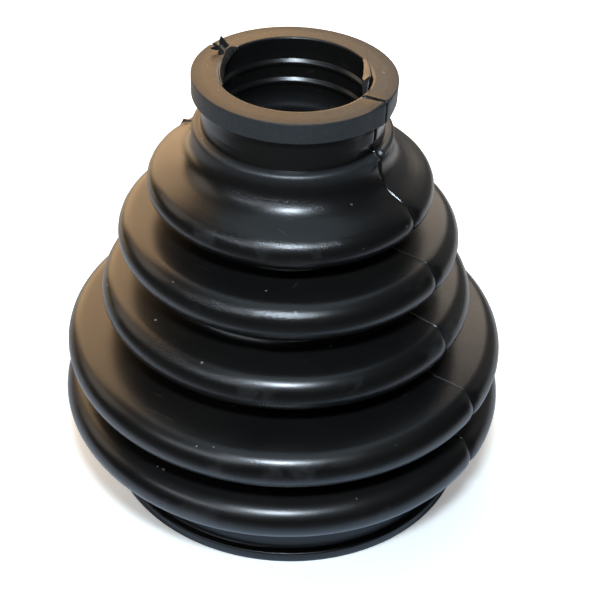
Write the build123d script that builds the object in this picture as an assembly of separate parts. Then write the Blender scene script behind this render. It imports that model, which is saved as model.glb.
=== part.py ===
from build123d import *
import os
from math import asin, atan2, cos, dist, hypot, pi, radians, sin

# Rubber bellows boot, moulded in one piece. Millimetres, +Z up.
# Origin: centre of the big end's mouth, on the plane that the boot stands on.
# The mould's parting plane is XZ, so its flash lines lie on the +X and -X sides.

# ---- big end: sealing lip, clamp seat and bore --------------------------------
big_bore_diameter = 78.0
big_seat_diameter = 83.6
big_lip_diameter = 87.2
big_lip_height = 2.7
big_seat_width = 9.3
big_seat_corner = 1.8          # hollow corner where the seat runs into the first fold

# ---- folds, numbered from the big end -----------------------------------------
crest_1_diameter = 104.0
crest_2_diameter = 101.6
crest_3_diameter = 84.4
crest_4_diameter = 75.8
crest_5_diameter = 62.4
crest_radius = 4.5
crest_5_radius = 3.9
valley_1_2_diameter = 83.6
valley_2_3_diameter = 68.0
valley_3_4_diameter = 59.0
valley_4_5_diameter = 46.4
valley_radius = 1.8
valley_3_4_radius = 2.6
first_crest_rise = 7.0         # from the top of the big clamp seat to the first crest
pitch_1_2 = 14.0
pitch_2_3 = 14.0
pitch_3_4 = 15.2
pitch_4_5 = 12.6
fold_wall = 2.2

# ---- small end: shoulder, clamp seat, flange and bore -------------------------
shoulder_diameter = 43.0
shoulder_rise = 13.6           # from the last crest to the ledge under the clamp seat
shoulder_band = 2.9            # straight part of the shoulder below the ledge
shoulder_sweep = 6.0           # hollow radius from the shoulder down into the last fold
ledge_round = 1.2              # outer edge of the ledge
small_seat_diameter = 39.0
small_seat_width = 7.2
flange_diameter = 42.8
flange_thickness = 4.4
small_bore_diameter = 32.0

# ---- sealing ribs in the small bore -------------------------------------------
rib_height = 0.6
rib_foot = 1.8
rib_land = 0.5                 # flat on the rib's tip, which seals on the shaft
rib_edge = 0.15
first_rib_depth = 5.4          # from the flange's face
rib_pitch = 4.5

# ---- stop rib: the broad, soft rib at the small bore's inner end ---------------
stop_depth = 17.0              # of its inner rounding, from the flange's face
stop_round = 2.0
stop_fillet = 3.4              # hollow radius from the bore's wall into the rib
stop_slope = 24.0              # degrees in from the bore's wall

# ---- edges --------------------------------------------------------------------
edge_round = 0.5
corner_round = 0.5

# ---- parting line of the mould ------------------------------------------------
ridge_height = 0.3             # thin flash that stands on the folds
ridge_width = 0.5
pinch_depth = 0.55             # crease across each crest
pinch_width = 0.9
groove_depth = 0.35            # line sunk in the shoulder, small clamp seat and flange
groove_width = 0.4

# ---- flap of torn flash on the flange's face, at the small bore's edge ---------
flap_bearing = -176.0          # degrees about Z, from +X
flap_lean = 35.0               # degrees up from the flange's face
flap_thickness = 0.5
flap_root_depth = 0.1
flap_reach = 3.9               # from the bore's edge to the tip, along the flap
flap_width = 4.6
# Ragged outline: share of the reach, and share of the width to either side of the middle.
flap_outline = [
    (0.0, -0.5), (0.32, -0.48), (0.72, -0.5), (1.0, -0.46), (0.9, -0.22), (0.7, 0.04),
    (0.82, 0.48), (0.55, 0.26), (0.38, 0.33), (0.18, 0.41), (0.0, 0.5),
]

# ---- drawing ------------------------------------------------------------------
smallest_run = 1e-6            # shorter straight runs are left out of an outline

# ---- heights and radii that follow ---------------------------------------------
big_seat_top = big_lip_height + big_seat_width
crest_1_height = big_seat_top + first_crest_rise
crest_2_height = crest_1_height + pitch_1_2
crest_3_height = crest_2_height + pitch_2_3
crest_4_height = crest_3_height + pitch_3_4
crest_5_height = crest_4_height + pitch_4_5
ledge_height = crest_5_height + shoulder_rise
shoulder_foot = ledge_height - shoulder_band - shoulder_sweep
flange_base = ledge_height + small_seat_width
total_height = flange_base + flange_thickness

big_bore = big_bore_diameter / 2
big_seat = big_seat_diameter / 2
big_lip = big_lip_diameter / 2
shoulder = shoulder_diameter / 2
small_seat = small_seat_diameter / 2
flange = flange_diameter / 2
small_bore = small_bore_diameter / 2
rib_tip = small_bore - rib_height

# The stop rib's hollow and round touch one straight run, which makes up the rib's height.
stop_rise = (stop_fillet + stop_round) * (1 - cos(radians(stop_slope)))
stop_run = (rib_height - stop_rise) / sin(radians(stop_slope))
stop_length = (stop_fillet + stop_round) * sin(radians(stop_slope)) + stop_run * cos(radians(stop_slope))

# Each crest: radius of its outermost circle, height, rounding.
crests = [
    (crest_1_diameter / 2, crest_1_height, crest_radius),
    (crest_2_diameter / 2, crest_2_height, crest_radius),
    (crest_3_diameter / 2, crest_3_height, crest_radius),
    (crest_4_diameter / 2, crest_4_height, crest_radius),
    (crest_5_diameter / 2, crest_5_height, crest_5_radius),
]
# Each valley, between one crest and the next: radius of its innermost circle, rounding.
valleys = [
    (valley_1_2_diameter / 2, valley_radius),
    (valley_2_3_diameter / 2, valley_radius),
    (valley_3_4_diameter / 2, valley_3_4_radius),
    (valley_4_5_diameter / 2, valley_radius),
]


def heading_between(first, second):
    """Heading of the straight run from one round to the next, tangent to both."""
    (x1, z1, turn1), (x2, z2, turn2) = first, second
    return atan2(z2 - z1, x2 - x1) - asin((turn2 - turn1) / hypot(x2 - x1, z2 - z1))


def touch_point(a_round, heading):
    """Where a run with this heading touches a round."""
    x, z, turn = a_round
    return (x + turn * sin(heading), z - turn * cos(heading))


def belt(rounds):
    """Closed face in the XZ plane, bounded by a belt drawn tightly round the given rounds.

    A round is (x, z, turn). The belt turns left round it at radius turn, or right if turn
    is negative, and makes a sharp corner if turn is 0. The face lies on the belt's left.
    """
    following = rounds[1:] + rounds[:1]
    headings = [heading_between(here, there) for here, there in zip(rounds, following)]
    edges = []
    for number, (here, there) in enumerate(zip(rounds, following)):
        heading_in, heading_out = headings[number - 1], headings[number]
        if here[2]:
            sweep = (heading_out - heading_in) % (2 * pi)
            if here[2] < 0:
                sweep -= 2 * pi
            stations = [heading_in, heading_in + sweep / 2, heading_in + sweep]
            edges.append(ThreePointArc(*[touch_point(here, heading) for heading in stations]))
        run = [touch_point(here, heading_out), touch_point(there, heading_out)]
        if dist(*run) > smallest_run:
            edges.append(Line(*run))
    return Plane.XZ * make_face(edges)


def fold_rounds():
    """Rounds of the outer surface along the folds, big end first."""
    rounds = []
    for lower, upper, valley in zip(crests, crests[1:], valleys):
        rounds.append((lower[0] - lower[2], lower[1], lower[2]))
        gap_middle = (lower[1] + lower[2] + upper[1] - upper[2]) / 2
        rounds.append((valley[0] + valley[1], gap_middle, -valley[1]))
    last = crests[-1]
    rounds.append((last[0] - last[2], last[1], last[2]))
    return rounds


def outer_rounds():
    """Rounds of the outer surface, from the foot of the lip to the flange's rim."""
    e, c = edge_round, corner_round
    return [
        (big_lip - e, e, e),
        (big_lip - e, big_lip_height - e, e),
        (big_seat + c, big_lip_height + c, -c),
        (big_seat + big_seat_corner, big_seat_top, -big_seat_corner),
        *fold_rounds(),
        (shoulder + shoulder_sweep, ledge_height - shoulder_band, -shoulder_sweep),
        (shoulder - ledge_round, ledge_height - ledge_round, ledge_round),
        (small_seat + c, ledge_height + c, -c),
        (small_seat + c, flange_base - c, -c),
        (flange - e, flange_base + e, e),
        (flange - e, total_height - e, e),
    ]


def rib_rounds(height):
    """One sealing rib, followed upwards: its foot, the two edges of its land, its foot."""
    return [
        (small_bore, height - rib_foot / 2, 0),
        (rib_tip + rib_edge, height - rib_land / 2, -rib_edge),
        (rib_tip + rib_edge, height + rib_land / 2, -rib_edge),
        (small_bore, height + rib_foot / 2, 0),
    ]


def inner_rounds():
    """Rounds of the inner surface, from the big bore's mouth to the small bore's edge."""
    e = edge_round
    seat_wall = big_seat - big_bore
    first_rib = total_height - first_rib_depth
    stop_base = total_height - stop_depth
    return [
        (big_bore + e, 0, 0),
        (big_bore + e, e, -e),
        (big_seat + big_seat_corner, big_seat_top, -big_seat_corner - seat_wall),
        *[(x, z, turn - fold_wall) for x, z, turn in fold_rounds()],
        (rib_tip + stop_round, stop_base, -stop_round),
        (small_bore - stop_fillet, stop_base + stop_length, stop_fillet),
        *rib_rounds(first_rib - rib_pitch),
        *rib_rounds(first_rib),
        (small_bore + e, total_height - e, -e),
        (small_bore + e, total_height, 0),
    ]


def filled(rounds):
    """Half-section bounded by the given rounds on one side and by the boot's axis on the other."""
    return belt(rounds + [(0, total_height, 0), (0, 0, 0)])


def parting_plate(growth, width, bottom, top):
    """Upright plate in the mould's parting plane, as wide as the boot's outline plus growth.

    It stands on one side of the axis and is cut off level at its bottom and its top.
    """
    outline = filled([(x, z, turn + growth) for x, z, turn in outer_rounds()])
    reach = crest_1_diameter
    level_slab = Pos(0, 0, bottom) * Box(
        reach, width, top - bottom, align=(Align.CENTER, Align.CENTER, Align.MIN)
    )
    return extrude(outline, width, both=True) & level_slab


def ridges():
    """Line of thin flash on the folds, from the big clamp seat to the shoulder's foot."""
    return parting_plate(ridge_height, ridge_width, big_seat_top, shoulder_foot)


def grooves():
    """Cutter for the line sunk from the shoulder's foot up to the flange's face."""
    slab = Pos(0, 0, shoulder_foot) * Box(
        crest_1_diameter / 2,
        groove_width,
        total_height,
        align=(Align.MIN, Align.CENTER, Align.MIN),
    )
    return slab - parting_plate(-groove_depth, 2 * groove_width, 0, total_height)


def pinch(crest):
    """Cutter for the crease where the parting line crosses a crest: a wedge, edge inwards."""
    radius, height, rounding = crest
    depth = 2 * pinch_depth
    wedge = Polygon(
        (radius - pinch_depth, 0),
        (radius - pinch_depth + depth, pinch_width),
        (radius - pinch_depth + depth, -pinch_width),
        align=None,
    )
    return Pos(0, 0, height) * extrude(wedge, rounding, both=True)


def torn_flap():
    """Ragged scrap of flash that stands up from the flange's face."""
    turn = Rot(0, 0, flap_bearing)
    seat = Pos(small_bore, 0, total_height - flap_root_depth)
    lean = Rot(0, -flap_lean, 0)
    outline = [(out * flap_reach, along * flap_width) for out, along in flap_outline]
    sheet = Polygon(*outline, align=None)
    return turn * seat * lean * extrude(sheet, -flap_thickness)


def both_sides(shape):
    """The shape, which lies on the +X side, and its mirror image on the -X side."""
    return shape + mirror(shape, about=Plane.YZ)


def bellows_boot():
    """The boot: filled outline and flash, then the hollow, the sunk lines and the creases."""
    boot = revolve(filled(outer_rounds()), Axis.Z) + both_sides(ridges())
    boot -= revolve(filled(inner_rounds()), Axis.Z)
    boot -= both_sides(grooves())
    for crest in crests:
        boot -= both_sides(pinch(crest))
    return boot + torn_flap()


if __name__ == "__main__":
    os.makedirs("parts", exist_ok=True)
    export_step(bellows_boot(), "parts/bellows_boot.step")
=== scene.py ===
# %% [markdown]
# # Rubber bellows boot
# A bellows boot is a moulded rubber sleeve that keeps grease in a joint and dirt out of it.
# The CAD model already gives its solid form. This lesson dresses that form: a finer skin with
# the marks of the mould, a satin black rubber, and a small product set to light it in.
# Everything is in metres, in the CAD model's own frame, with the boot's axis along Z.

# %% Load the frame
from math import asin, atan2, cos, dist, exp, hypot, pi, radians, sin

import bmesh
import bpy
from mathutils import Matrix, Vector, noise


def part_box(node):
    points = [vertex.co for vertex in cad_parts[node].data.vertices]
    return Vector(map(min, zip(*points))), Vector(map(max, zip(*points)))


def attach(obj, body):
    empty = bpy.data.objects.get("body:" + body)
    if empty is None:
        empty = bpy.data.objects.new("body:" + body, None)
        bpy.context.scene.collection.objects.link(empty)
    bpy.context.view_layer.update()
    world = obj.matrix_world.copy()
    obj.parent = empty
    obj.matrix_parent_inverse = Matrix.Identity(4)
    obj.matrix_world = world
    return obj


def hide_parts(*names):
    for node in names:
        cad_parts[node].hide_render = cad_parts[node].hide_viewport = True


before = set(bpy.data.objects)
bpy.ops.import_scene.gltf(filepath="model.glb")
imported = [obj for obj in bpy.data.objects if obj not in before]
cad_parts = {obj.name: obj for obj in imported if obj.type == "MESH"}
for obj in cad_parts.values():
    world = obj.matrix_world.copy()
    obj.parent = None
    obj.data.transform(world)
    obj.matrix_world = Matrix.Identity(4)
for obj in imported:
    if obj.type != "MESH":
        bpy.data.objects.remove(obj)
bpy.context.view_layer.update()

MM = 0.001
low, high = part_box("bellows_boot")
print("the boot's box in mm:", [round((b - a) / MM, 1) for a, b in zip(low, high)])

# %% [markdown]
# ## Sizes
# A boot is moulded round one axis, so its whole form is one half-section. The section could
# be a curve drawn by hand, but then its roundings would wander. Here it is described by
# rounds, the small circles that the mould's cutter would follow: each crest and each valley
# is one round, and the straight flanks touch the rounds on either side.

# %% Sizes of the section, in millimetres
big_bore, big_seat, big_lip = 39.0, 41.8, 43.6
lip_height, seat_top, seat_corner = 2.7, 12.0, 1.8
fold_wall = 2.2
small_bore, small_seat, shoulder, flange = 16.0, 19.5, 21.5, 21.4
shoulder_band, shoulder_sweep = 2.9, 6.0
ledge_height, flange_base, total_height = 88.4, 95.6, 100.0
stop_base, stop_length, stop_fillet, stop_round = 83.0, 2.495, 3.4, 2.0
edge, corner, ledge_round, crisp, bore_edge = 0.5, 0.5, 1.2, 0.2, 0.35
rib_tip, rib_foot, rib_land, rib_edge, rib_round = 15.4, 2.0, 0.3, 0.15, 0.4
rib_heights = (94.1, 89.6)

# Crest: outermost radius, height, rounding. Valley: innermost radius, rounding.
crests = [(52.0, 19.0, 4.5), (50.8, 33.0, 4.5), (42.2, 47.0, 4.5), (37.9, 62.2, 4.5), (31.2, 74.8, 3.9)]
valleys = [(41.8, 1.8), (34.0, 1.8), (29.5, 2.6), (23.2, 1.8)]
print("crests across in mm:", [2 * radius for radius, height, rounding in crests])

# %% Rounds of the section: radius, height, and turn, which is left if positive
def crest_round(crest):
    """A crest as a round."""
    return (crest[0] - crest[2], crest[1], crest[2])


def fold_rounds():
    """The outside of the folds, from the big end up."""
    rounds = []
    for lower, upper, valley in zip(crests, crests[1:], valleys):
        rounds.append(crest_round(lower))
        middle = (lower[1] + lower[2] + upper[1] - upper[2]) / 2
        rounds.append((valley[0] + valley[1], middle, -valley[1]))
    return rounds + [crest_round(crests[-1])]


def outer_rounds():
    """The outside, from the foot of the lip to the flange's rim."""
    return [
        (big_lip - edge, edge, edge),
        (big_lip - edge, lip_height - edge, edge),
        (big_seat + corner, lip_height + corner, -corner),
        (big_seat + seat_corner, seat_top, -seat_corner),
        *fold_rounds(),
        (shoulder + shoulder_sweep, ledge_height - shoulder_band, -shoulder_sweep),
        (shoulder - ledge_round, ledge_height - ledge_round, ledge_round),
        (small_seat, ledge_height, 0),
        (small_seat, flange_base, 0),
        (flange - crisp, flange_base + crisp, crisp),
        (flange - crisp, total_height - crisp, crisp),
    ]


def rib_rounds(height):
    """One sealing rib of the small bore, from its upper foot to its lower one."""
    foot, tip = small_bore - rib_edge, rib_tip + rib_round
    return [
        (foot, height + rib_foot / 2, -rib_edge),
        (tip, height + rib_land / 2, rib_round),
        (tip, height - rib_land / 2, rib_round),
        (foot, height - rib_foot / 2, -rib_edge),
    ]


def inner_rounds():
    """The inside, from the small bore's edge down to the big bore's mouth."""
    return [
        (small_bore + bore_edge, total_height - bore_edge, bore_edge),
        *rib_rounds(rib_heights[0]),
        *rib_rounds(rib_heights[1]),
        (small_bore - stop_fillet, stop_base + stop_length, -stop_fillet),
        (rib_tip + stop_round, stop_base, stop_round),
        *[(x, z, fold_wall - turn) for x, z, turn in reversed(fold_rounds())],
        (big_seat + seat_corner, seat_top, seat_corner + big_seat - big_bore),
        (big_bore + edge, edge, edge),
    ]


print("rounds outside and inside:", len(outer_rounds()), len(inner_rounds()))

# %% [markdown]
# ## From rounds to a section
# A belt is drawn tightly round the rounds: an arc on each one and a straight run to the next.
# A bevelled curve object could do it, but mesh code puts the points where the relief needs
# them. Each point also keeps the belt's heading, which tells exactly where the rubber's
# surface faces, and so in which direction a raised line has to stand.
#
# Smooth shading blends the light from point to point, so a crisp edge would darken the whole
# flat face beside it. A guard point close to the edge keeps that blend in a narrow strip.

# %% Walk the belt
arc_step = radians(13)
run_step = 2.6
crisp_limit, guard = 0.4, 0.25


def heading_between(here, there):
    """Heading of the straight run that touches both rounds."""
    slope = atan2(there[1] - here[1], there[0] - here[0])
    return slope - asin((there[2] - here[2]) / hypot(there[0] - here[0], there[1] - here[1]))


def touch_point(a_round, heading):
    """Radius, height and heading where the belt has this heading on the round."""
    x, z, turn = a_round
    return (x + turn * sin(heading), z - turn * cos(heading), heading)


def run_shares(here, there, length):
    """Where the points of the straight run between two rounds lie, as shares of its length."""
    parts = max(1, round(length / run_step))
    shares = [k / parts for k in range(1, parts)]
    if length > 4 * guard and 0 < here[2] < crisp_limit:
        shares.insert(0, guard / length)
    if length > 4 * guard and 0 < there[2] < crisp_limit:
        shares.append(1 - guard / length)
    return shares


def belt(rounds):
    """Points of the closed section: radius, height, heading, and the number of its round."""
    following = rounds[1:] + rounds[:1]
    headings = [heading_between(here, there) for here, there in zip(rounds, following)]
    points = []
    for number, (here, there) in enumerate(zip(rounds, following)):
        heading_in, heading_out = headings[number - 1], headings[number]
        sweep = (heading_out - heading_in) % (2 * pi)
        if here[2] < 0:
            sweep -= 2 * pi
        step = arc_step if abs(here[2]) > 1 else 2 * arc_step  # small rounds need fewer points
        parts = max(2, round(abs(sweep) / step)) if here[2] else 2
        arc = [touch_point(here, heading_in + sweep * k / parts) for k in range(parts + 1)]
        if not here[2]:
            arc = arc[1:2]
        begin, end = arc[-1], touch_point(there, heading_out)
        run = [
            (begin[0] + (end[0] - begin[0]) * share, begin[1] + (end[1] - begin[1]) * share, heading_out)
            for share in run_shares(here, there, dist(begin[:2], end[:2]))
        ]
        points += [(*point, number) for point in arc + run]
    return points


section = belt(outer_rounds() + inner_rounds())
last_outer_round = len(outer_rounds()) - 1
print("points in the section:", len(section))

# %% [markdown]
# ## Marks of the mould
# The boot leaves a mould in two halves. Where they met, a hair of flash stands on each fold
# and on the hollow sweep above them, and each crest is pinched into a crease. Under the ledge
# the line sinks into a notch with a small web of rubber beside it, and it runs on as a groove
# in the small clamp seat and the flange. It could be painted with a bump map, but it catches
# the light and shows in the outline, so it is real relief: functions give how far each point
# stands proud, from where it is on the section and how far it lies from the parting plane.

# %% Relief of the parting line, in millimetres
seam_reach = 4.0
ridge_height, ridge_width = 0.24, 0.16
crease_depth, crease_width, crease_reach = 0.95, 0.26, 2.8
curl_depth, curl_width = 0.4, 1.3
groove_depth, groove_width = 1.0, 0.2
neck_groove_depth, neck_groove_width = 1.5, 0.25
sunk_length, line_depth, line_shift = 6.0, 0.5, 0.5
notch_depth, notch_place, notch_fade = 0.9, -0.1, 1.5
notch_foot_width, notch_widening = 0.15, 0.45
web_height, web_width, web_thickness, web_place = 0.55, 0.9, 0.7, -2.7
web_level, web_level_width = 0.8, 0.15
sweep_ridge, sweep_ridge_width = 0.3, 0.2
nub_height, nub_width, nub_length, nub_radius = 0.95, 0.5, 1.5, 29.0
corner_pull, corner_width = 0.5, 3.2
flat_pull, flat_width, flat_place = 0.3, 5.0, -10.0
seam_turn = ledge_height - sunk_length


def hump(distance, width):
    """1 in the middle, falling smoothly to nothing at about twice the width."""
    return exp(-((distance / width) ** 2))


def crest_share(radius, height):
    """1 on the outermost circle of a crest, 0 where its crease has run out."""
    share = 0.0
    for crest_radius, crest_height, rounding in crests:
        if abs(height - crest_height) < rounding:
            share = max(share, 1 - (crest_radius - radius) / crease_reach)
    return share


def sunk_line(radius, height, offset):
    """Relief between the sweep and the ledge: a notch that widens upwards, and a web."""
    up = (height - seam_turn) / sunk_length
    notch = notch_depth * up * hump(offset - notch_place * up, notch_foot_width + notch_widening * up)
    notch *= min(1.0, (radius - small_seat) / notch_fade)
    web = web_height * hump(up - web_level, web_level_width) * hump(offset - web_place, web_width)
    web *= hump(radius - shoulder, web_thickness)
    return web - notch - line_depth * hump(offset - line_shift * up, groove_width)


def raised_line(radius, height, offset, side):
    """Relief of the folds and the sweep: a hair of flash, and a crease in each crest."""
    crest = crest_share(radius, height)
    crease = min(1.0, 1.5 * crest)
    uneven = 0.8 + 0.8 * noise.noise(Vector((radius * 0.7, height * 0.7, 7.0 * side)))
    ridge = ridge_height * uneven * (1 - crease) * hump(offset, ridge_width)
    if height > crests[-1][1]:
        steady = 0.85 + 0.15 * uneven
        ridge = sweep_ridge * steady * (1 - crest**2) * hump(offset, sweep_ridge_width)
        if side < 0:
            ridge += nub_height * hump(radius - nub_radius, nub_length) * hump(offset, nub_width)
    pinch = crease_depth * hump(offset, crease_width) + curl_depth * hump(offset, curl_width)
    return ridge - crease * pinch


def seam_relief(radius, height, offset, side):
    """How far the outside stands proud at this offset from the parting plane."""
    if height < seat_top:
        return 0.0
    if height >= ledge_height and radius <= small_seat + crisp:
        return -neck_groove_depth * hump(offset, neck_groove_width)
    if height > flange_base:
        return -groove_depth * hump(offset, groove_width)
    if height > seam_turn:
        return sunk_line(radius, height, offset)
    return raised_line(radius, height, offset, side)


def flange_pull(along):
    """How far the flange and ledge are drawn out at the near seam, falling off sooner on one side."""
    return corner_pull * hump(along, corner_width) - flat_pull * hump(along - flat_place, flat_width)


print("deepest crease in mm:", crease_depth)

# %% [markdown]
# ## Turning the section
# The section is turned round the axis in columns. Blender's Screw modifier would space them
# evenly and blur the flash. Instead, two groups of columns stand close together, parallel to
# the parting plane, and the others share what is left. A slow, faint waviness keeps the
# rubber from looking machined: soft mouldings are never perfectly round. For the same reason
# the foot stands a little to one side under the folds, where the boot's own weight pushed it.

# %% Columns of the skin
near_offsets = [0.0, 0.08, 0.16, 0.25, 0.36, 0.5, 0.75, 1.1, 1.6, 2.3, 3.1, seam_reach]
even_columns = 100
wave, wave_turns, wave_rise, wave_fade = 0.05, 1.6, 0.07, 10.0
foot_push, foot_heading, foot_top = 1.45, radians(12), 15.0
bore_margin = 2.0


def columns():
    """Each column is (side, offset from the parting plane, share of the way round)."""
    offsets = [-offset for offset in reversed(near_offsets[1:])] + near_offsets
    made = []
    for side in (1, -1):
        made += [(side, offset, None) for offset in offsets]
        made += [(side, None, k / even_columns) for k in range(1, even_columns)]
    return made


def column_angle(column, radius):
    """Angle of a column about the axis, at this radius."""
    side, offset, share = column
    start = 0.0 if side > 0 else pi
    if share is None:
        return start + asin(offset / radius)
    seam_half = asin(seam_reach / radius)
    return start + seam_half + share * (pi - 2 * seam_half)


def skin_point(point, column):
    """A point of the section, turned to its column, in metres."""
    radius, height, heading, number = point
    angle = column_angle(column, radius)
    proud = 0.0
    if number <= last_outer_round:
        if column[2] is None:
            proud = seam_relief(radius, height, column[1], column[0])
        if height > ledge_height - ledge_round and radius > small_bore + bore_margin:
            proud += flange_pull(angle * radius) * (radius - small_bore) / (flange - small_bore)
        if height > lip_height:
            place = Vector((wave_turns * cos(angle), wave_turns * sin(angle), height * wave_rise))
            proud -= wave * (1 + noise.noise(place)) * min(1.0, (total_height - height) / wave_fade)
    r = radius + proud * sin(heading)
    z = height - proud * cos(heading)
    aside = foot_push * (0.5 + 0.5 * cos(pi * min(1.0, height / foot_top)))
    x = r * cos(angle) + aside * cos(foot_heading)
    y = r * sin(angle) + aside * sin(foot_heading)
    return (x * MM, y * MM, z * MM)


boot_columns = columns()
print("columns:", len(boot_columns), "points in the skin:", len(boot_columns) * len(section))

# %% [markdown]
# Rubber from one mould isn't equally glossy all over. The flange was sparked rough in the
# mould and then rubbed dull, the clamp seat and the small bore were polished, and hands and
# boxes scuff the crests. Four numbers at each point tell the material so: scuff, dull, rim
# and matte_and_groove_shade. The last one also darkens the parting line's groove in the
# flange as painted shade. They could be painted by hand, but here functions work them out
# from the section, so they stay in step with the shape.

# %% Numbers for the material
wall_matte, bore_matte, ledge_matte, seat_matte = 0.2, -0.1, 0.6, -0.4
flange_scuff = 0.3

# Scuffs: bearing in degrees; height, length and depth in mm; strength.
scuffs = [
    (-86, 83.1, 6.0, 0.9, 0.80), (-62, 82.7, 8.0, 0.6, 0.50), (-42, 81.9, 2.5, 0.7, 0.40),
    (-84, 77.7, 4.0, 0.9, 0.60), (-60, 77.9, 8.0, 0.7, 0.45), (-40, 77.6, 4.0, 0.9, 0.80),
    (-83, 65.2, 6.5, 0.9, 0.95), (-60, 65.0, 11.0, 0.8, 0.55),
    (-94, 50.4, 8.5, 1.1, 0.80), (-77, 49.8, 8.0, 1.0, 0.45),
]


def dull_share(point):
    """1 on the flange's face, which was rubbed dull and mirrors less."""
    radius, height, heading, number = point
    return 1.0 if height > total_height - crisp and radius > small_bore + bore_edge else 0.0


def scuff_share(point, column):
    """1 in the middle of a scuff, 0 away from all of them, and a little on the flange's face."""
    radius, height, heading, number = point
    if number > last_outer_round:
        return 0.0
    share = flange_scuff * dull_share(point)
    for bearing, level, length, depth, strength in scuffs:
        turn = (column_angle(column, radius) - radians(bearing) + pi) % (2 * pi) - pi
        share = max(share, strength * hump(turn * radius, length) * hump(height - level, depth))
    return share


def rim_share(point):
    """1 on a crest's outermost circle, 0 off the crests and on the inside."""
    return max(0.0, crest_share(point[0], point[1])) if point[3] <= last_outer_round else 0.0


def matte_share(point):
    """1 where the mould was sparked rough, 0 where it was satin, less where it was polished."""
    radius, height, heading, number = point
    if number > last_outer_round:
        polished = radius <= small_bore and height > rib_heights[1] - rib_foot
        return bore_matte if polished else wall_matte
    if height > flange_base and radius > small_seat + crisp:
        return 0.5 + 0.5 * abs(sin(heading))
    if height > ledge_height - shoulder_band and radius > small_seat + crisp:
        return ledge_matte
    return seat_matte if height > ledge_height else 0.0


def seam_groove_shade(column):
    """1 away from the parting line, below 0 on it; in the flange's groove this takes out the sparked grey
    and some roughness, a painted shade that keeps the groove dark.
    """
    return 1.0 if column[2] is not None else 1 - 1.5 * hump(column[1], 0.3)


print("scuffs:", len(scuffs))

# %% [markdown]
# The skin is a closed tube of faces: every column meets the next one, and every point of the
# section meets its neighbour. It is shaded smooth, except along the rings where the section
# has a true corner. A Bevel modifier could soften those too, but real moulds are sharp there.

# %% Build the skin
def mesh_piece(name, points, faces):
    """A smooth-shaded mesh object that moves with the boot."""
    mesh = bpy.data.meshes.new(name)
    mesh.from_pydata(points, [], faces)
    mesh.update()
    mesh.shade_smooth()
    piece = bpy.data.objects.new(name, mesh)
    bpy.context.scene.collection.objects.link(piece)
    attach(piece, "root")
    return piece


def store(piece, name, values):
    """One number for each point of the mesh, for the material to read."""
    layer = piece.data.attributes.new(name, "FLOAT", "POINT")
    layer.data.foreach_set("value", values)


rows = len(section)
points = [skin_point(point, column) for column in boot_columns for point in section]
faces = []
for c in range(len(boot_columns)):
    here, there = c * rows, (c + 1) % len(boot_columns) * rows
    faces += [(here + k, there + k, there + (k + 1) % rows, here + (k + 1) % rows) for k in range(rows)]
boot = mesh_piece("boot_skin", points, faces)

spots = [(point, column) for column in boot_columns for point in section]
store(boot, "scuff", [scuff_share(point, column) for point, column in spots])
store(boot, "dull", [dull_share(point) for point, column in spots])
store(boot, "rim", [rim_share(point) for point, column in spots])
# The matte number is lowered in the parting line's grooves: on the flange this is painted shade in the
# groove.
store(boot, "matte_and_groove_shade", [matte_share(point) * seam_groove_shade(column) for point, column in spots])

turns = [a_round[2] for a_round in outer_rounds() + inner_rounds()]
corner_rows = {k for k, point in enumerate(section) if not turns[point[3]]}
ends = [(edge.vertices[0] % rows, edge.vertices[1] % rows) for edge in boot.data.edges]
sharp = boot.data.attributes.new("sharp_edge", "BOOLEAN", "EDGE")
sharp.data.foreach_set("value", [a == b and a in corner_rows for a, b in ends])
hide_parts("bellows_boot")
print("triangles in the skin:", 2 * len(faces), "sharp rings:", len(corner_rows))

# %% [markdown]
# ## Torn flash at the small end
# Rubber that squeezed into the mould's joint at the bore's edge was pulled away by hand. It
# left a lip and a strip on each side of the bore, a curl that hangs over the edge by the
# near parting line, and a scrap that stands up over the flange's face. Each is a thin sheet:
# a grid of points for its middle surface, given a thickness. A simulation of tearing would be
# out of proportion; a few stations along each strip say how it lies.

# %% Thin sheets of flash
sheet_thickness, sheet_taper = 0.3, 0.7


def blend_stations(stations, share):
    """Numbers at a share of the way along a list of stations, smoothly in between."""
    place = share * (len(stations) - 1)
    first = min(int(place), len(stations) - 2)
    t = place - first
    t = t * t * (3 - 2 * t)
    return [a + (b - a) * t for a, b in zip(stations[first], stations[first + 1])]


def store_plain(piece):
    """Torn flash has no scuffs, rims or sparked places."""
    for name in ("scuff", "rim", "matte_and_groove_shade"):
        store(piece, name, [0.0] * len(piece.data.vertices))


def thin_sheet(name, grid, thickness):
    """A closed sheet round a grid of points in mm, thinner towards its last row."""
    rows, cols = len(grid), len(grid[0])
    points = []
    for face in (0.5, -0.5):
        for i in range(rows):
            for j in range(cols):
                along = grid[i][min(j + 1, cols - 1)] - grid[i][max(j - 1, 0)]
                across = grid[min(i + 1, rows - 1)][j] - grid[max(i - 1, 0)][j]
                normal = across.cross(along).normalized()
                taper = 1 - sheet_taper * i / (rows - 1)
                points.append((grid[i][j] + normal * face * thickness * taper) * MM)
    top = [[i * cols + j for j in range(cols)] for i in range(rows)]
    under = [[rows * cols + index for index in line] for line in top]
    faces = []
    for i in range(rows - 1):
        for j in range(cols - 1):
            faces.append((top[i][j], top[i][j + 1], top[i + 1][j + 1], top[i + 1][j]))
            faces.append((under[i][j], under[i + 1][j], under[i + 1][j + 1], under[i][j + 1]))
    border = top[0] + [line[-1] for line in top[1:]] + top[-1][-2::-1] + [line[0] for line in top[-2:0:-1]]
    for a, b in zip(border, border[1:] + border[:1]):
        faces.append((b, a, a + rows * cols, b + rows * cols))
    piece = mesh_piece(name, points, faces)
    store_plain(piece)
    return piece


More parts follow.
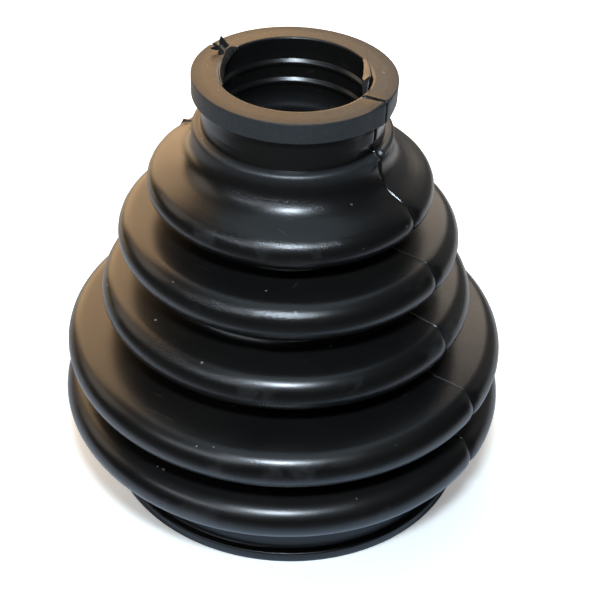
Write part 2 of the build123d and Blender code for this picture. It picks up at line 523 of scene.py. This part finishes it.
def strip_grid(stations, cols, rows, fray, droop):
    """Grid of a strip that follows the bore's edge, between its root and its free edge.

    A station is: bearing in degrees, root radius, root height, free radius, free height, lift.
    """
    grid = []
    for i in range(rows):
        line = []
        for j in range(cols):
            bearing, root, root_z, free, free_z, lift = blend_stations(stations, j / (cols - 1))
            out = i / (rows - 1)
            ragged = fray * out * noise.noise(Vector((j * 0.55, 3.0 * root, 0.0)))
            radius = root + (free - root) * out + ragged
            height = root_z + (free_z - root_z) * out**droop + lift * sin(pi * out**0.5) + 0.4 * ragged
            angle = radians(bearing)
            line.append(Vector((radius * cos(angle), radius * sin(angle), height)))
        grid.append(line)
    return grid


# %% Where the torn flash lies
strip_stations = {
    "flash_lip_left": [
        (-116, 16.4, 99.85, 16.30, 99.84, 0.0),
        (-126, 16.6, 99.85, 15.90, 99.84, 0.0),
        (-140, 16.6, 99.85, 15.65, 99.84, 0.0),
        (-156, 16.6, 99.85, 15.65, 99.84, 0.0),
        (-166, 16.6, 99.85, 16.10, 99.84, 0.0),
        (-172, 16.4, 99.85, 16.30, 99.80, 0.0),
    ],
    "flash_lip_right": [
        (64, 16.4, 99.85, 16.30, 99.84, 0.0),
        (52, 16.6, 99.85, 16.10, 99.84, 0.0),
        (42, 16.6, 99.85, 15.85, 99.84, 0.0),
        (34, 16.6, 99.85, 15.75, 99.84, 0.0),
        (26, 16.6, 99.85, 16.20, 99.80, 0.0),
    ],
    "flash_strip_right": [
        (60, 16.5, 99.85, 15.9, 99.85, 0.0),
        (50, 16.1, 99.90, 14.9, 99.90, 0.1),
        (40, 15.7, 99.95, 14.2, 99.95, 0.1),
        (33, 15.6, 99.95, 14.0, 99.95, 0.1),
        (27, 15.5, 100.0, 13.8, 99.95, 0.1),
        (23, 15.3, 100.2, 14.2, 100.0, 0.1),
    ],
    "flash_curl_right": [
        (20.5, 15.5, 101.5, 15.2, 101.4, 0.0),
        (18.0, 15.6, 100.9, 14.4, 100.7, 0.0),
        (14.0, 15.7, 99.60, 14.4, 99.40, 0.0),
        (10.0, 15.8, 98.40, 15.0, 98.30, 0.0),
        (7.00, 15.8, 97.60, 15.6, 97.60, 0.0),
    ],
    "flash_strip_left": [
        (-124, 15.9, 99.80, 15.6, 99.60, 0.0),
        (-133, 15.6, 99.80, 14.9, 99.20, 0.0),
        (-146, 15.6, 99.90, 14.5, 98.80, 0.0),
        (-158, 15.7, 100.0, 14.7, 98.70, 0.0),
        (-168, 16.1, 100.3, 15.0, 98.90, 0.1),
        (-176, 16.7, 100.7, 15.3, 99.10, 0.1),
        (-182, 16.9, 100.5, 15.5, 99.40, 0.1),
        (-187, 16.4, 99.90, 15.9, 99.70, 0.0),
    ],
}
print("torn strips:", len(strip_stations))

# %% [markdown]
# Rubber also crept into a joint of the mould on the underside of the two upper crests, and
# stands there as a short fin. It could be cut from a ring, but the stations of a strip already
# describe such a sheet: rooted in the rubber, and sticking out most in its middle.

# %% Fins under the upper crests
# Each fin: its bearing and half its angle in degrees, its crest, and how far it sticks out.
fins = {"flash_fin_75": (-58, 16, crests[4], 0.35), "flash_fin_62": (-59, 12, crests[3], 0.4)}
fin_slope, fin_root, fin_cover = radians(52), 0.5, 0.15
fin_outline = [(-1.0, 0.0), (-0.6, 0.7), (0.0, 1.0), (0.6, 0.7), (1.0, 0.0)]


def fin_stations(bearing, half_angle, crest, reach):
    """Stations of a fin on a crest's underside."""
    x, z, rounding = crest_round(crest)
    stations = []
    for turn, share in fin_outline:
        root = rounding - fin_root
        free = rounding - fin_cover + (fin_cover + reach) * share
        root_place = (x + root * cos(fin_slope), z - root * sin(fin_slope))
        free_place = (x + free * cos(fin_slope), z - free * sin(fin_slope))
        stations.append((bearing - half_angle * turn, *root_place, *free_place, 0.0))
    return stations


for name, (bearing, half_angle, crest, reach) in fins.items():
    strip_stations[name] = fin_stations(bearing, half_angle, crest, reach)
print("strips and fins:", len(strip_stations))

# %% Build the flash
# How ragged a strip's free edge is in mm, and how suddenly it bends down: 1 is an even slope.
plain_fray, plain_droop = 0.12, 1.5
fray = {"flash_strip_left": 0.4, "flash_curl_right": 0.05}
droop = {"flash_strip_left": 1.0, "flash_curl_right": 1.0}
strip_columns, strip_rows = 70, 8
strips = []
for name, stations in strip_stations.items():
    ragged, bent = fray.get(name, plain_fray), droop.get(name, plain_droop)
    grid = strip_grid(stations, strip_columns, strip_rows, ragged, bent)
    strips.append(thin_sheet(name, grid, sheet_thickness))
print("flash strips:", [strip.name for strip in strips])

# %% [markdown]
# The scrap that stands up is cut to a ragged outline, each point given by how far it lies out
# from the bore's edge and along it. The outline is filled with small triangles, so that it can
# curl, and thickened by a Solidify modifier. A Simple Deform modifier could bend it too, but a
# small function curls it unevenly, as torn rubber does.

# %% Torn scrap
scrap_bearing, scrap_lean, scrap_thickness = radians(-176), radians(35), 0.4
scrap_sunk, scrap_flatten = 0.25, 0.88
scrap_outline = [
    (-0.3, -2.5), (0.6, -2.5), (1.3, -2.2), (1.8, -2.4), (2.3, -2.25), (3.0, -2.4),
    (3.6, -2.2), (4.15, -2.15), (3.7, -1.2), (3.5, -0.9), (3.3, -0.5), (2.9, 0.3),
    (3.15, 1.3), (3.4, 2.2), (2.8, 1.8), (2.3, 1.5), (2.1, 1.0), (1.7, 1.6),
    (1.2, 1.4), (0.7, 1.7), (0.2, 1.3), (-0.3, 1.6),
]


def scrap_place(out, along):
    """A point of the scrap's middle, curling up more steeply the further out it is."""
    lean = scrap_lean * (0.75 + 0.08 * out + 0.1 * sin(2.5 * along))
    radius = small_bore + out * cos(lean)
    height = total_height - scrap_sunk + out * sin(lean) * scrap_flatten
    return Matrix.Rotation(scrap_bearing, 3, "Z") @ Vector((radius, along, height)) * MM


mesh = bpy.data.meshes.new("flash_scrap")
mesh.from_pydata([(out, along, 0.0) for out, along in scrap_outline], [], [range(len(scrap_outline))])
shaping = bmesh.new()
shaping.from_mesh(mesh)
bmesh.ops.triangulate(shaping, faces=shaping.faces[:])
for _ in range(3):
    bmesh.ops.subdivide_edges(shaping, edges=shaping.edges[:], cuts=1, use_grid_fill=True)
for vertex in shaping.verts:
    out, along, _ = vertex.co
    vertex.co = scrap_place(out, along)
shaping.to_mesh(mesh)
shaping.free()
mesh.shade_smooth()
scrap = bpy.data.objects.new("flash_scrap", mesh)
bpy.context.scene.collection.objects.link(scrap)
thicken = scrap.modifiers.new("thickness", "SOLIDIFY")
thicken.thickness = scrap_thickness * MM
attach(scrap, "root")
store_plain(scrap)
for piece in (*strips, scrap):
    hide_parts("bellows_boot")
print("points in the scrap:", len(mesh.vertices))

# %% [markdown]
# ## Rubber
# Carbon-black rubber is nearly black inside, so nearly all that the eye gets from it is
# gloss: broad, soft highlights from the mould's satin finish. What makes it real is how
# that gloss breaks up. Three effects do this, each in a node group of its own with named
# inputs, so that the boot and its flash can use them in different strengths. An image of a
# rubber surface could do the same, but it would have to be unwrapped and would repeat; noise
# on the object's own coordinates does neither. First come a few helpers that place nodes.

# %% Helpers for shader nodes
def new_group(name, inputs, outputs):
    """An empty shader node group with float inputs (name, value) and named outputs."""
    group = bpy.data.node_groups.new(name, "ShaderNodeTree")
    for title, value in inputs:
        socket = group.interface.new_socket(title, in_out="INPUT", socket_type="NodeSocketFloat")
        socket.default_value = value
    for title, kind in outputs:
        group.interface.new_socket(title, in_out="OUTPUT", socket_type=kind)
    return group, group.nodes.new("NodeGroupInput"), group.nodes.new("NodeGroupOutput")


def math_node(tree, operation, first, second=None, third=None, clamp=False):
    """A Math node whose inputs are sockets or plain numbers; gives its output socket."""
    node = tree.nodes.new("ShaderNodeMath")
    node.operation = operation
    node.use_clamp = clamp
    for socket, value in zip(node.inputs, (first, second, third)):
        if isinstance(value, bpy.types.NodeSocket):
            tree.links.new(value, socket)
        elif value is not None:
            socket.default_value = value
    return node.outputs[0]


def noise_node(tree, scale, detail, roughness, stretch=(1, 1, 1)):
    """Noise on the object's own coordinates; scale is in features per metre."""
    place = tree.nodes.new("ShaderNodeTexCoord")
    mapping = tree.nodes.new("ShaderNodeMapping")
    mapping.inputs["Scale"].default_value = stretch
    tree.links.new(place.outputs["Object"], mapping.inputs["Vector"])
    node = tree.nodes.new("ShaderNodeTexNoise")
    node.inputs["Detail"].default_value = detail
    node.inputs["Roughness"].default_value = roughness
    if isinstance(scale, bpy.types.NodeSocket):
        tree.links.new(scale, node.inputs["Scale"])
    else:
        node.inputs["Scale"].default_value = scale
    tree.links.new(mapping.outputs["Vector"], node.inputs["Vector"])
    return node.outputs["Fac"]


def range_node(tree, value, from_min, from_max, to_min=0.0, to_max=1.0):
    """Maps a range onto another, clamped."""
    node = tree.nodes.new("ShaderNodeMapRange")
    tree.links.new(value, node.inputs["Value"])
    for title, number in zip(
        ("From Min", "From Max", "To Min", "To Max"), (from_min, from_max, to_min, to_max)
    ):
        node.inputs[title].default_value = number
    return node.outputs["Result"]


def colour_mix(tree, amount, below, above):
    """Mixes two colours, each a plain colour or a socket, by an amount."""
    node = tree.nodes.new("ShaderNodeMix")
    node.data_type = "RGBA"
    tree.links.new(amount, node.inputs["Factor"])
    for socket, value in zip([s for s in node.inputs if s.type == "RGBA"], (below, above)):
        if isinstance(value, bpy.types.NodeSocket):
            tree.links.new(value, socket)
        else:
            socket.default_value = (*value, 1)
    return [s for s in node.outputs if s.type == "RGBA"][0]


print("helpers for shader nodes are ready")

# %% [markdown]
# The first effect is the mould's texture: a fine grain with small pits, and a slower swell of
# the surface. Where the mould was sparked the grain is coarse, and a scuff is full of chips
# that sparkle in the key light. All of it is too fine for the mesh, so the group gives a
# height for a Bump node.

# %% Node group: mould grain
grain, grain_in, grain_out = new_group(
    "mould_grain",
    [("Grain Scale", 2600.0), ("Grain Depth", 0.6), ("Swell Depth", 1.0), ("Coarse", 0.0), ("Scuff", 0.0)],
    [("Height", "NodeSocketFloat"), ("Speckle", "NodeSocketFloat")],
)
grain_depth, swell_depth = grain_in.outputs["Grain Depth"], grain_in.outputs["Swell Depth"]
fine = noise_node(grain, grain_in.outputs["Grain Scale"], 3.0, 0.6)
swell = noise_node(grain, 90.0, 2.0, 0.5)
pores = grain.nodes.new("ShaderNodeTexVoronoi")
pores.inputs["Scale"].default_value = 1400.0
pore_place = grain.nodes.new("ShaderNodeTexCoord")
grain.links.new(pore_place.outputs["Object"], pores.inputs["Vector"])
pits = range_node(grain, pores.outputs["Distance"], 0.1, 0.28, -1.0, 0.0)
coarse_patch = range_node(grain, noise_node(grain, 42.0, 2.0, 0.5), 0.55, 0.66, 0.0, 0.6)
coarse = math_node(grain, "ADD", coarse_patch, grain_in.outputs["Coarse"], clamp=True)
chips = noise_node(grain, 3400.0, 1.0, 0.7)
depths = [
    (fine, math_node(grain, "MULTIPLY", grain_depth, math_node(grain, "MULTIPLY_ADD", coarse, 2.5, 1.0))),
    (chips, math_node(grain, "MULTIPLY", grain_in.outputs["Scuff"], 16.0)),
    (pits, math_node(grain, "MULTIPLY", grain_depth, 0.35)),
    (swell, math_node(grain, "MULTIPLY", swell_depth, 4.0)),
]
height = math_node(grain, "MULTIPLY", *depths[0])
for pattern, depth in depths[1:]:
    height = math_node(grain, "ADD", height, math_node(grain, "MULTIPLY", pattern, depth))
grain.links.new(height, grain_out.inputs["Height"])
grain.links.new(fine, grain_out.inputs["Speckle"])
print("node group:", grain.name)

# %% [markdown]
# The second effect is handling: pale rubbed patches on the crests' rims, a few short
# scratches, and broad differences in sheen where fingers and mould release have been. They
# could be painted on by hand. Noise needs no painting: stretched one way it gives scratches,
# and the rim number that the skin carries keeps the rubbing on the crests.

# %% Node group: handling marks
handling, handling_in, handling_out = new_group(
    "handling_marks",
    [("Rim", 0.0), ("Rub Amount", 0.5), ("Scratch Amount", 0.5)],
    [("Rub", "NodeSocketFloat"), ("Scratch", "NodeSocketFloat"), ("Sheen", "NodeSocketFloat")],
)
patch = range_node(handling, noise_node(handling, 55.0, 5.0, 0.65), 0.54, 0.68)
rim_near = range_node(handling, handling_in.outputs["Rim"], 0.1, 0.9)
worn = math_node(handling, "MULTIPLY", patch, rim_near)
handling.links.new(
    math_node(handling, "MULTIPLY", worn, handling_in.outputs["Rub Amount"], clamp=True),
    handling_out.inputs["Rub"],
)
hair = noise_node(handling, 900.0, 2.0, 0.5, stretch=(0.12, 1.0, 1.0))
cross_hair = noise_node(handling, 700.0, 2.0, 0.5, stretch=(1.0, 0.1, 0.6))
hair_line = range_node(handling, hair, 0.70, 0.74)
cross_line = range_node(handling, cross_hair, 0.71, 0.75)
where = range_node(handling, noise_node(handling, 45.0, 1.0, 0.5), 0.5, 0.62)
lines = math_node(handling, "MULTIPLY", math_node(handling, "MAXIMUM", hair_line, cross_line), where)
handling.links.new(
    math_node(handling, "MULTIPLY", lines, handling_in.outputs["Scratch Amount"], clamp=True),
    handling_out.inputs["Scratch"],
)
handling.links.new(noise_node(handling, 38.0, 3.0, 0.55), handling_out.inputs["Sheen"])
print("node group:", handling.name)

# %% [markdown]
# The third effect is dust: single pale specks, and a thin film on what faces up. Scattered
# grains of mesh would be true specks, but far too many of them. A Voronoi pattern has one
# round spot in each cell, and keeping only a few cells leaves single specks.

# %% Node group: dust
dust, dust_in, dust_out = new_group(
    "dust",
    [("Speck Amount", 0.5), ("Film Amount", 0.2)],
    [("Specks", "NodeSocketFloat"), ("Film", "NodeSocketFloat")],
)
cells = dust.nodes.new("ShaderNodeTexVoronoi")
cells.inputs["Scale"].default_value = 620.0
dust_place = dust.nodes.new("ShaderNodeTexCoord")
dust.links.new(dust_place.outputs["Object"], cells.inputs["Vector"])
split = dust.nodes.new("ShaderNodeSeparateColor")
dust.links.new(cells.outputs["Color"], split.inputs["Color"])
chosen = range_node(dust, split.outputs[0], 0.955, 0.96)
size = math_node(dust, "MULTIPLY", split.outputs[1], 0.16)
inside = math_node(dust, "LESS_THAN", cells.outputs["Distance"], math_node(dust, "ADD", size, 0.05))
facing = dust.nodes.new("ShaderNodeNewGeometry")
parts = dust.nodes.new("ShaderNodeSeparateXYZ")
dust.links.new(facing.outputs["Normal"], parts.inputs["Vector"])
upward = range_node(dust, parts.outputs["Z"], 0.1, 0.95)
specks = math_node(dust, "MULTIPLY", math_node(dust, "MULTIPLY", chosen, inside), upward)
dust.links.new(
    math_node(dust, "MULTIPLY", specks, dust_in.outputs["Speck Amount"], clamp=True),
    dust_out.inputs["Specks"],
)
cloud = range_node(dust, noise_node(dust, 120.0, 6.0, 0.7), 0.35, 0.75)
settled = math_node(dust, "MULTIPLY", cloud, upward)
film = math_node(dust, "MULTIPLY", settled, dust_in.outputs["Film Amount"])
dust.links.new(film, dust_out.inputs["Film"])
print("node group:", dust.name)

# %% [markdown]
# Now the rubbers themselves, both nearly black. The flash was torn rather than moulded, so its
# grain and scratches are stronger. Marks and dust lift the colour a little and roughen the
# gloss, and the flange's dull face mirrors less than the rest. A shader with a coat on top
# could also give the gloss, but rubber has no coat: one layer is truer and easier to tune.

# %% Rubber materials
sparked_grey, film_grey, rubbed_grey = (0.027, 0.030, 0.032), (0.16, 0.15, 0.135), (0.13, 0.13, 0.13)
scratch_grey, speck_grey = (0.2, 0.2, 0.2), (0.5, 0.48, 0.44)
mirror_level, mirror_loss = 0.49, 0.26
bump_strength, bump_distance = 0.35, 0.03 * MM


def rubber(name, black, roughness, grain_depth, swell_depth, rub, scratch, speck, film):
    """Satin black rubber with its own strengths of grain, handling marks and dust."""
    material = bpy.data.materials.new(name)
    material.use_nodes = True
    tree = material.node_tree
    tree.nodes.clear()
    shader = tree.nodes.new("ShaderNodeBsdfPrincipled")
    output = tree.nodes.new("ShaderNodeOutputMaterial")
    tree.links.new(shader.outputs[0], output.inputs["Surface"])
    shader.inputs["IOR"].default_value = 1.52

    def place(group, **values):
        node = tree.nodes.new("ShaderNodeGroup")
        node.node_tree = group
        for title, value in values.items():
            node.inputs[title.replace("_", " ")].default_value = value
        return node.outputs, node.inputs

    def stored(attribute):
        node = tree.nodes.new("ShaderNodeAttribute")
        node.attribute_name = attribute
        return node.outputs["Fac"]

    matte_and_groove_shade = stored("matte_and_groove_shade")
    texture, texture_in = place(grain, Grain_Depth=grain_depth, Swell_Depth=swell_depth)
    tree.links.new(matte_and_groove_shade, texture_in["Coarse"])
    tree.links.new(stored("scuff"), texture_in["Scuff"])
    marks, marks_in = place(handling, Rub_Amount=rub, Scratch_Amount=scratch)
    tree.links.new(stored("rim"), marks_in["Rim"])
    dirt, _ = place(dust, Speck_Amount=speck, Film_Amount=film)

    brown_black = (black * 1.25, black * 1.1, black * 0.95)
    colour = colour_mix(tree, range_node(tree, marks["Sheen"], 0.35, 0.7), (black,) * 3, brown_black)
    speckle = range_node(tree, texture["Speckle"], 0.35, 0.65, 0.5, 1.0)
    # Sparked places turn a speckled grey. Where the number is below 0, in the flange's parting groove, the
    # grey stays out as painted shade.
    sparked = math_node(tree, "MULTIPLY", matte_and_groove_shade, speckle, clamp=True)
    for amount, grey in (
        (sparked, sparked_grey),
        (dirt["Film"], film_grey),
        (marks["Rub"], rubbed_grey),
        (marks["Scratch"], scratch_grey),
        (dirt["Specks"], speck_grey),
    ):
        colour = colour_mix(tree, amount, colour, grey)
    tree.links.new(colour, shader.inputs["Base Color"])

    gloss = range_node(tree, marks["Sheen"], 0.3, 0.7, roughness - 0.035, roughness + 0.045)
    gloss = math_node(tree, "MULTIPLY_ADD", matte_and_groove_shade, 0.2, gloss)
    gloss = math_node(tree, "MULTIPLY_ADD", marks["Rub"], 0.3, gloss)
    gloss = math_node(tree, "MULTIPLY_ADD", dirt["Film"], 0.4, gloss)
    gloss = math_node(tree, "MULTIPLY_ADD", dirt["Specks"], 0.4, gloss, clamp=True)
    tree.links.new(gloss, shader.inputs["Roughness"])
    mirroring = math_node(tree, "MULTIPLY_ADD", stored("dull"), -mirror_loss, mirror_level)
    tree.links.new(mirroring, shader.inputs["Specular IOR Level"])

    relief = math_node(tree, "MULTIPLY_ADD", dirt["Specks"], 1.2, texture["Height"])
    relief = math_node(tree, "MULTIPLY_ADD", marks["Scratch"], -0.5, relief)
    bump = tree.nodes.new("ShaderNodeBump")
    bump.inputs["Strength"].default_value = bump_strength
    bump.inputs["Distance"].default_value = bump_distance
    tree.links.new(relief, bump.inputs["Height"])
    tree.links.new(bump.outputs["Normal"], shader.inputs["Normal"])
    return material


satin_rubber = rubber(
    "satin_rubber", black=0.004, roughness=0.29, grain_depth=1.0, swell_depth=1.0,
    rub=0.2, scratch=0.06, speck=0.25, film=0.008,
)
torn_rubber = rubber(
    "torn_rubber", black=0.006, roughness=0.28, grain_depth=1.6, swell_depth=2.0,
    rub=0.2, scratch=0.3, speck=0.2, film=0.01,
)
boot.data.materials.append(satin_rubber)
for piece in (*strips, scrap):
    piece.data.materials.append(torn_rubber)
# The CAD model's own solid, which the skin stands in for, is made of the same rubber.
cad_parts["bellows_boot"].data.materials.clear()
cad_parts["bellows_boot"].data.materials.append(satin_rubber)
print("materials:", satin_rubber.name, torn_rubber.name)

# %% [markdown]
# ## Camera
# The camera stands in front and looks down steeply enough to see into the small bore. Its
# place is given as a bearing round the boot's axis, a distance and a height; the lens is a
# short telephoto, so the boot's shape isn't stretched.

# %% Camera
camera_bearing = radians(32.3)
camera_distance, camera_height = 0.23145, 0.22105
camera_pitch, camera_yaw, camera_roll = radians(37.88), radians(0.82), radians(2.84)

camera_data = bpy.data.cameras.new("camera")
camera_data.lens = 75.2
camera_data.sensor_width = 36.0
camera = bpy.data.objects.new("camera", camera_data)
bpy.context.scene.collection.objects.link(camera)
spot = Matrix.Rotation(camera_bearing, 4, "Z") @ Vector((0, -camera_distance, camera_height))
camera.matrix_world = (
    Matrix.Translation(spot)
    @ Matrix.Rotation(camera_bearing - camera_yaw, 4, "Z")
    @ Matrix.Rotation(pi / 2 - camera_pitch, 4, "X")
    @ Matrix.Rotation(camera_roll, 4, "Z")
)
bpy.context.scene.camera = camera
print("camera at mm:", [round(value / MM) for value in spot])

# %% [markdown]
# ## Floor
# The boot stands on a pale sheet that is large enough to fill the view. A curved studio
# backdrop would do as well, but this camera looks down, so one flat sheet is enough.

# %% Floor sheet
floor_half, floor_drop = 0.55, 0.05 * MM
floor_corners = [(-1, -1), (1, -1), (1, 1), (-1, 1)]
floor_mesh = bpy.data.meshes.new("floor")
floor_points = [(x * floor_half, y * floor_half, -floor_drop) for x, y in floor_corners]
floor_mesh.from_pydata(floor_points, [], [(0, 1, 2, 3)])
floor = bpy.data.objects.new("floor", floor_mesh)
bpy.context.scene.collection.objects.link(floor)
print("floor across in m:", 2 * floor_half)

# %% [markdown]
# Glossy black rubber shows the room more than itself, so what the sheet looks like to the
# camera and what it lends to the rubber are kept apart by a Light Path node. To the camera it
# is plain and nearly white, a little less so right under the boot, where its glow is turned
# down as a painted shade. To the rubber it is white only near the boot, with two glowing
# patches far behind it, as if lit from a window: a warm one on the left and a neutral one on
# the right, which draw pale lines along the outer rims. Large lights low down could draw them
# too, but they would also light the front.

# %% Floor paper
paper = bpy.data.materials.new("pale_paper")
paper.use_nodes = True
paper_tree = paper.node_tree
paper_shader = paper_tree.nodes["Principled BSDF"]
seen = paper_tree.nodes.new("ShaderNodeLightPath").outputs["Is Camera Ray"]


def within(right, behind, inner, outer):
    """1 inside a circle on the floor, fading to 0 at the outer radius.

    Its centre lies so far in metres to the right of the boot and behind it, as the camera sees it.
    """
    where = paper_tree.nodes.new("ShaderNodeTexCoord")
    reach = paper_tree.nodes.new("ShaderNodeVectorMath")
    reach.operation = "DISTANCE"
    reach.inputs[1].default_value = Matrix.Rotation(camera_bearing, 3, "Z") @ Vector((right, behind, 0))
    paper_tree.links.new(where.outputs["Object"], reach.inputs[0])
    return range_node(paper_tree, reach.outputs["Value"], inner, outer, 1.0, 0.0)


def paper_mix(amount, below, above):
    """Mixes two colours of the paper."""
    return colour_mix(paper_tree, amount, below, above)


seen_white, seen_glow, seen_shade = (0.85, 0.88, 0.86), (0.95, 0.95, 0.95), (0.3, 0.3, 0.3)
near_white, far_grey, unlit = (0.72, 0.82, 0.95), (0.09, 0.09, 0.09), (0.0, 0.0, 0.0)
warm_glow, neutral_glow = (1.9, 1.35, 0.75), (0.5, 0.5, 0.48)
mirrored = paper_mix(within(0.0, 0.13, 0.195, 0.235), far_grey, near_white)
paper_tree.links.new(paper_mix(seen, mirrored, seen_white), paper_shader.inputs["Base Color"])
sunlit = paper_mix(within(-0.30, 0.36, 0.17, 0.25), unlit, warm_glow)
sunlit = paper_mix(within(0.26, 0.26, 0.17, 0.25), sunlit, neutral_glow)
# Seen by the camera, the paper glows less near the boot: a painted shade round its foot.
bright = paper_mix(within(0.0, -0.02, 0.05, 0.11), seen_glow, seen_shade)
paper_tree.links.new(paper_mix(seen, sunlit, bright), paper_shader.inputs["Emission Color"])
paper_shader.inputs["Emission Strength"].default_value = 1.0
paper_shader.inputs["Roughness"].default_value = 0.8
floor_mesh.materials.append(paper)
print("material:", paper.name)

# %% [markdown]
# ## Light
# A small key light stands just above the camera: it draws a short bright highlight on the
# front of every crest and a crisp shadow under it, and a thin card to its left stretches that
# highlight. Large soft panels fill the rest. The strongest stands behind, on the left, and is
# warm: the flange's face and the left flanks mirror it as a tan sheen. The others are weak.
# An image of a room round the scene would light it at once, but nothing in it could be moved.
#
# The world itself gives the rubber almost nothing. Only the camera sees it bright, so that the
# sheet doesn't end in the dark when the boot is looked at from a low angle.

# %% Lights
def panel(name, bearing, distance, height, size, watts, colour, aim_height=0.05):
    """A rectangular area light at a bearing from straight ahead of the camera, aimed at the boot."""
    data = bpy.data.lights.new(name, "AREA")
    data.shape = "RECTANGLE"
    data.size, data.size_y = size
    data.energy = watts
    data.color = colour
    light = bpy.data.objects.new(name, data)
    bpy.context.scene.collection.objects.link(light)
    turn = Matrix.Rotation(camera_bearing - radians(bearing), 4, "Z")
    place = turn @ Vector((0, distance, height))
    aim = Vector((0, 0, aim_height)) - place
    light.matrix_world = Matrix.Translation(place) @ aim.to_track_quat("-Z", "Y").to_matrix().to_4x4()
    return light


# Bearing in degrees; distance behind the boot and height in metres; size; watts; colour.
panel("key", 0.0, -0.185, 0.281, (0.05, 0.03), 1.0, (0.76, 0.88, 1.0))
panel("warm_back", -24.0, 1.5, 0.72, (1.5, 1.5), 28.0, (1.0, 0.66, 0.37))
panel("soft_top", 0.0, 0.35, 1.6, (1.2, 1.2), 4.4, (0.68, 0.86, 1.0))
panel("left_card", 38.0, -0.24, 0.225, (0.2, 0.05), 0.16, (0.82, 0.9, 1.0))
panel("soft_right", 40.0, 1.5, 0.55, (1.7, 1.2), 1.6, (1.0, 0.99, 0.97))
panel("soft_back", 17.0, 1.5, 0.85, (0.7, 0.8), 4.4, (1.0, 0.86, 0.72))
panel("soft_left", -75.0, 1.4, 0.8, (0.8, 0.8), 3.0, (1.0, 0.85, 0.7))

# %% World
ambient, seen_brightness = 0.02, 0.95
world = bpy.data.worlds.new("studio")
world.use_nodes = True
backdrop = world.node_tree.nodes["Background"]
backdrop.inputs["Color"].default_value = (0.95, 0.97, 1.0, 1)
directly = world.node_tree.nodes.new("ShaderNodeLightPath").outputs["Is Camera Ray"]
strength = math_node(world.node_tree, "MULTIPLY_ADD", directly, seen_brightness - ambient, ambient)
world.node_tree.links.new(strength, backdrop.inputs["Strength"])
bpy.context.scene.world = world
bpy.context.scene.view_settings.view_transform = "Standard"
print("world:", world.name)
